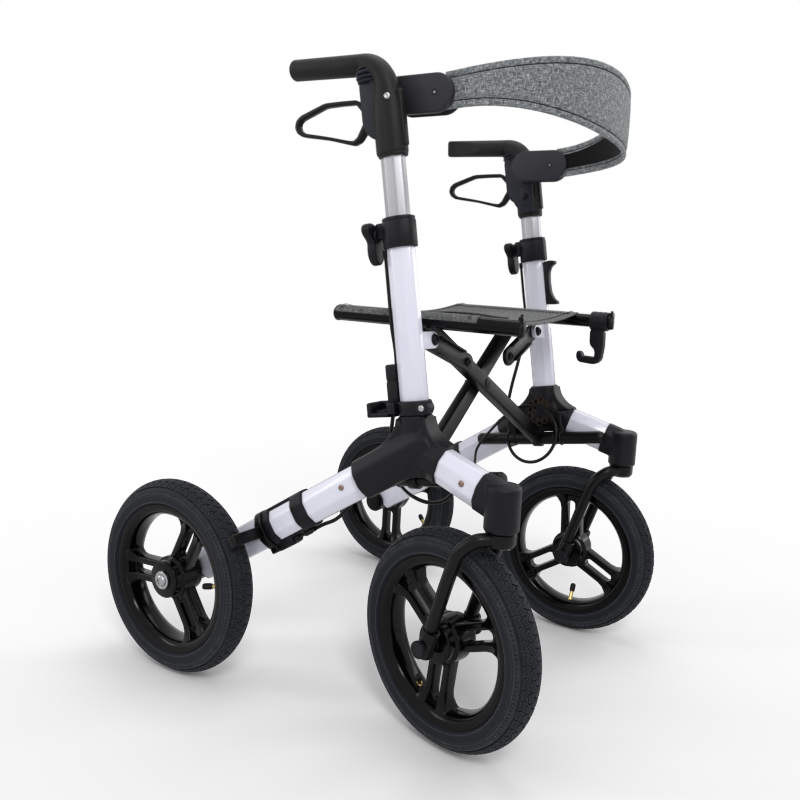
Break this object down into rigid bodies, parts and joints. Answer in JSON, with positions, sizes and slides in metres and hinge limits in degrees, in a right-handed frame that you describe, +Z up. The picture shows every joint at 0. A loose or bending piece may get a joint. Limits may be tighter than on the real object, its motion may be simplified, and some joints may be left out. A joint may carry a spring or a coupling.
{
  "type": "all terrain rollator",
  "caption": "Folding all terrain rollator with air tyres, swivel front forks, sling seat, padded backrest strap, height-set handles and loop brake levers.",
  "frame": {"origin": "on the ground under the middle of the wheels", "axes": "+X to the walker's left, -Y forward, +Z up"},
  "size_m": [0.6786, 0.749, 0.9397],
  "materials": {
    "white_tube": "gloss white powder coat",
    "tyre": "matt black tread rubber",
    "gloss_rim": "gloss black moulding",
    "silver_tube": "satin anodised",
    "grip_rubber": "soft matt",
    "axle_steel": "dark zinc",
    "black_metal": "satin black powder coat",
    "screws": "copper tone",
    "seat_cloth": "grey melange weave",
    "strap_cloth": "grey melange weave, black lining",
    "cable": "smooth black sheath",
    "black_plastic": "fine-grained black moulding"
  },
  "bodies": {
    "right_frame": {"right_upright": "white_tube", "right_frame_hub": "black_plastic", "right_front_leg": "white_tube", "right_rear_leg": "white_tube", "right_caster_housing": "black_plastic", "right_rear_axle": "axle_steel", "right_brake_housing": "black_plastic", "right_collar": "black_plastic", "right_lower_bar": "black_metal", "right_brake_cable": "cable", "right_tube_screws": "screws", "cane_cup": "black_plastic"},
    "right_fork": {"right_fork": "black_metal", "right_front_axle": "axle_steel"},
    "right_front_wheel": {"right_front_rim": "gloss_rim", "right_front_tyre": "tyre"},
    "right_rear_wheel": {"right_rear_rim": "gloss_rim", "right_rear_tyre": "tyre"},
    "right_handle": {"right_inner_tube": "silver_tube", "right_handle": "black_plastic", "right_grip": "grip_rubber", "right_backrest_bracket": "black_plastic", "backrest_strap": "strap_cloth"},
    "right_lever": {"right_brake_lever": "black_plastic"},
    "right_shoe": {"right_brake_shoe": "black_plastic"},
    "right_knob": {"right_collar_knob": "black_plastic"},
    "right_link": {"right_guide_link": "black_metal"},
    "left_frame": {"left_upright": "white_tube", "left_frame_hub": "black_plastic", "left_front_leg": "white_tube", "left_rear_leg": "white_tube", "left_caster_housing": "black_plastic", "left_rear_axle": "axle_steel", "left_brake_housing": "black_plastic", "left_collar": "black_plastic", "left_lower_bar": "black_metal", "left_brake_cable": "cable", "left_tube_screws": "screws", "accessory_clip": "black_plastic"},
    "left_fork": {"left_fork": "black_metal", "left_front_axle": "axle_steel"},
    "left_front_wheel": {"left_front_rim": "gloss_rim", "left_front_tyre": "tyre"},
    "left_rear_wheel": {"left_rear_rim": "gloss_rim", "left_rear_tyre": "tyre"},
    "left_handle": {"left_inner_tube": "silver_tube", "left_handle": "black_plastic", "left_grip": "grip_rubber", "left_backrest_bracket": "black_plastic"},
    "left_lever": {"left_brake_lever": "black_plastic"},
    "left_shoe": {"left_brake_shoe": "black_plastic"},
    "left_knob": {"left_collar_knob": "black_plastic"},
    "left_link": {"left_guide_link": "black_metal"},
    "rising_left_bar": {"rising_left_bar": "black_metal", "left_seat_rail": "black_metal", "brace_pin": "axle_steel", "bag_hook": "black_plastic"},
    "rising_right_bar": {"rising_right_bar": "black_metal", "right_seat_rail": "black_metal", "seat_cloth": "seat_cloth"}
  },
  "joints": [
    {"name": "fold", "type": "hinge", "parent": "right_frame", "child": "rising_left_bar", "pos_m": [-0.195, -0.151, 0.355], "axis": [0, -0.9863, 0.165], "range_deg": [0, 38], "deforming": ["seat_cloth", "backrest_strap"]},
    {"name": "brace_cross", "type": "hinge", "parent": "rising_left_bar", "child": "rising_right_bar", "pos_m": [0, -0.13159, 0.47096], "axis": [0, -0.9863, 0.165], "range_deg": [-76, 0]},
    {"name": "left_frame_hinge", "type": "hinge", "parent": "rising_right_bar", "child": "left_frame", "pos_m": [0.195, -0.151, 0.355], "axis": [0, -0.9863, 0.165], "range_deg": [0, 38]},
    {"name": "right_link_hinge", "type": "hinge", "parent": "right_frame", "child": "right_link", "pos_m": [-0.178, -0.14068, 0.54997], "axis": [0, -0.9863, 0.165], "range_deg": [0, 87.4]},
    {"name": "left_link_hinge", "type": "hinge", "parent": "left_frame", "child": "left_link", "pos_m": [0.178, -0.14068, 0.54997], "axis": [0, -0.9863, 0.165], "range_deg": [-87.4, 0]},
    {"name": "right_caster_swivel", "type": "hinge", "parent": "right_frame", "child": "right_fork", "pos_m": [-0.241, -0.3025, 0.324], "axis": [0, 0, 1], "continuous": true},
    {"name": "right_front_wheel_spin", "type": "hinge", "parent": "right_fork", "child": "right_front_wheel", "pos_m": [-0.223, -0.22455, 0.152], "axis": [0.9744, -0.225, 0], "continuous": true},
    {"name": "right_rear_wheel_spin", "type": "hinge", "parent": "right_frame", "child": "right_rear_wheel", "pos_m": [-0.303, 0.2225, 0.152], "axis": [1, 0, 0], "continuous": true},
    {"name": "left_caster_swivel", "type": "hinge", "parent": "left_frame", "child": "left_fork", "pos_m": [0.241, -0.3025, 0.324], "axis": [0, 0, 1], "continuous": true},
    {"name": "left_front_wheel_spin", "type": "hinge", "parent": "left_fork", "child": "left_front_wheel", "pos_m": [0.241, -0.2225, 0.152], "axis": [1, 0, 0], "continuous": true},
    {"name": "left_rear_wheel_spin", "type": "hinge", "parent": "left_frame", "child": "left_rear_wheel", "pos_m": [0.303, 0.2225, 0.152], "axis": [1, 0, 0], "continuous": true},
    {"name": "right_handle_height", "type": "slide", "parent": "right_frame", "child": "right_handle", "axis": [0, 0.165, 0.9863], "range_m": [-0.03, 0.04]},
    {"name": "left_handle_height", "type": "slide", "parent": "left_frame", "child": "left_handle", "axis": [0, 0.165, 0.9863], "range_m": [-0.03, 0.04]},
    {"name": "right_knob_turn", "type": "hinge", "parent": "right_frame", "child": "right_knob", "pos_m": [-0.221, -0.0784, 0.69062], "axis": [0, 0.9863, -0.165], "range_deg": [-180, 180]},
    {"name": "left_knob_turn", "type": "hinge", "parent": "left_frame", "child": "left_knob", "pos_m": [0.221, -0.0784, 0.69062], "axis": [0, 0.9863, -0.165], "range_deg": [-180, 180]},
    {"name": "right_brake_squeeze", "type": "hinge", "parent": "right_handle", "child": "right_lever", "pos_m": [-0.221, -0.0536, 0.85179], "axis": [1, 0, 0], "range_deg": [0, 13]},
    {"name": "right_brake_press", "type": "slide", "parent": "right_frame", "child": "right_shoe", "axis": [-0.0761, 0.8343, -0.546], "range_m": [0, 0.0035]},
    {"name": "left_brake_squeeze", "type": "hinge", "parent": "left_handle", "child": "left_lever", "pos_m": [0.221, -0.06053, 0.81037], "axis": [1, 0, 0], "range_deg": [0, 13]},
    {"name": "left_brake_press", "type": "slide", "parent": "left_frame", "child": "left_shoe", "axis": [0.0761, 0.8343, -0.546], "range_m": [0, 0.0035]}
  ],
  "couplings": [
    {"joint": "brace_cross", "follows": "fold", "ratio": -2},
    {"joint": "left_frame_hinge", "follows": "fold", "ratio": 1},
    {"joint": "right_link_hinge", "follows": "fold", "ratio": 2.3},
    {"joint": "left_link_hinge", "follows": "fold", "ratio": -2.3},
    {"joint": "left_handle_height", "follows": "right_handle_height", "ratio": 1},
    {"joint": "right_brake_press", "follows": "right_brake_squeeze", "m_per_rad": 0.014985},
    {"joint": "left_brake_press", "follows": "left_brake_squeeze", "m_per_rad": 0.014985}
  ]
}
